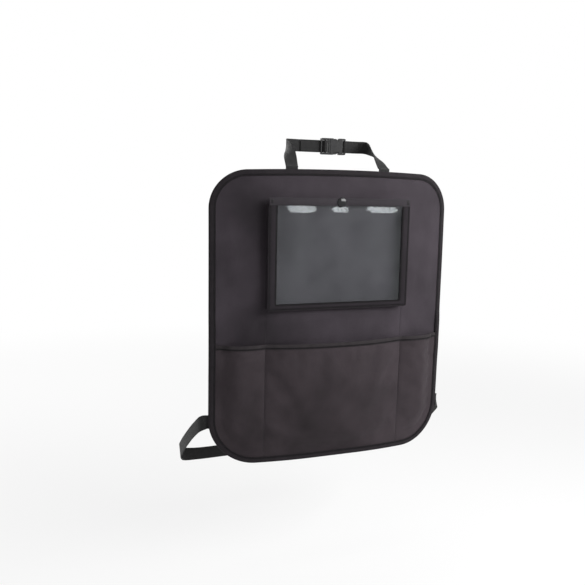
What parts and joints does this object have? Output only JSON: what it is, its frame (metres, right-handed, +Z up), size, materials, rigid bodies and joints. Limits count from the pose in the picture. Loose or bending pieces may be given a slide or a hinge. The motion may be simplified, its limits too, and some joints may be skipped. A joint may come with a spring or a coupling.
{
  "type": "car seat protector",
  "caption": "Hanging cover for the rear of a car seat back, with a clear tablet pocket, lower pockets and buckled straps round the headrest posts and the seat",
  "frame": {"origin": "centre of the flat zone on the panel's rear face, where the panel lies on the seat back", "axes": "+Z up, +Y from the panel towards the seat, +X to the right of someone who looks at the pockets"},
  "size_m": [0.5136, 0.222, 0.6451],
  "materials": {
    "panel_cloth": "woven polyester, charcoal with a faint sheen",
    "binding_tape": "folded woven tape, near black",
    "webbing": "flat woven webbing, near black",
    "clear_film": "clear flexible film, glossy",
    "buckle_resin": "black moulded plastic",
    "snap_resin": "glossy black"
  },
  "bodies": {
    "root": {"back_panel": "panel_cloth", "lower_pocket": "panel_cloth", "tablet_pocket_frame": "panel_cloth", "tablet_pocket_gusset": "panel_cloth", "edge_binding": "binding_tape", "lower_pocket_hem": "binding_tape", "tablet_pocket_band": "binding_tape", "tablet_window": "clear_film", "snap_washer": "snap_resin", "snap_stud": "snap_resin", "snap_socket": "snap_resin", "snap_cap": "snap_resin", "top_strap_left": "webbing", "top_strap_right": "webbing", "lower_strap_left": "webbing", "lower_strap_right": "webbing", "top_buckle_socket": "buckle_resin", "top_buckle_plug": "buckle_resin", "lower_buckle_socket": "buckle_resin", "lower_buckle_plug": "buckle_resin"}
  },
  "joints": []
}
